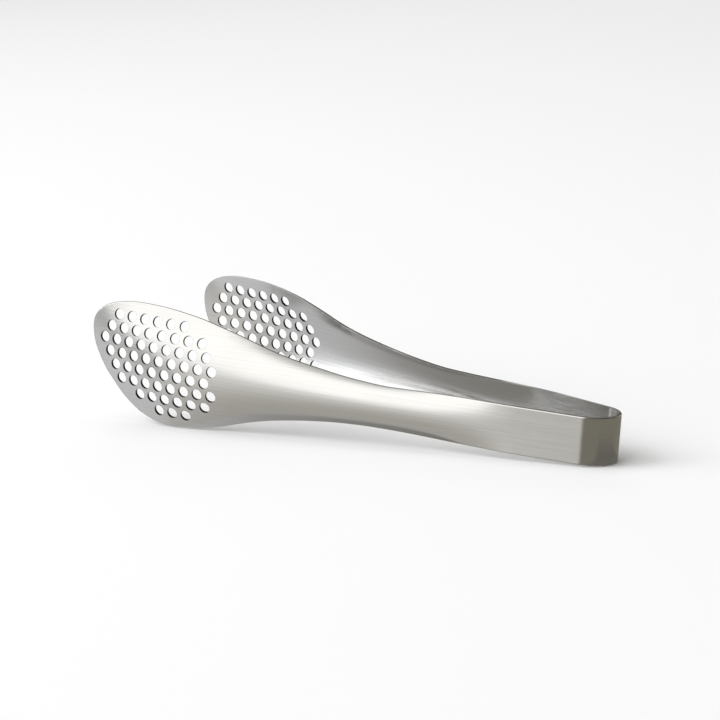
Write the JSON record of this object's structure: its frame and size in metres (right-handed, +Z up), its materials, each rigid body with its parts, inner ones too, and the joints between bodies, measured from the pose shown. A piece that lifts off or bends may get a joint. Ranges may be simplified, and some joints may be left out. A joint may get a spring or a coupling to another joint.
{
  "type": "perforated tongs",
  "caption": "One-piece sprung steel tongs whose two arms widen into dished, perforated blades for lifting and draining food.",
  "frame": {"origin": "on the floor, under the middle of the whole, with the tongs lying on the lower edges of the blades and of the bend", "axes": "+X towards the sprung bend, +Y from the near arm to the far arm, +Z up; the handle rises towards the tips by about four degrees"},
  "size_m": [0.1984, 0.075, 0.0454],
  "materials": {
    "brushed_sheet": "fine brush lines along the length of the strip, satin"
  },
  "bodies": {
    "bend": {"spring_bend": "brushed_sheet"},
    "near_side": {"near_arm": "brushed_sheet"},
    "far_side": {"far_arm": "brushed_sheet"}
  },
  "joints": [
    {"name": "near_squeeze", "type": "hinge", "parent": "bend", "child": "near_side", "pos_m": [0.08954, -0.01014, 0.00919], "axis": [-0.0731, 0, -0.9973], "range_deg": [0, 10.4], "stiffness_Nm_per_rad": 6.4},
    {"name": "far_squeeze", "type": "hinge", "parent": "bend", "child": "far_side", "pos_m": [0.08954, 0.01014, 0.00919], "axis": [0.0731, 0, 0.9973], "range_deg": [0, 10.4], "stiffness_Nm_per_rad": 6.4}
  ],
  "couplings": [
    {"joint": "far_squeeze", "follows": "near_squeeze", "ratio": 1}
  ]
}
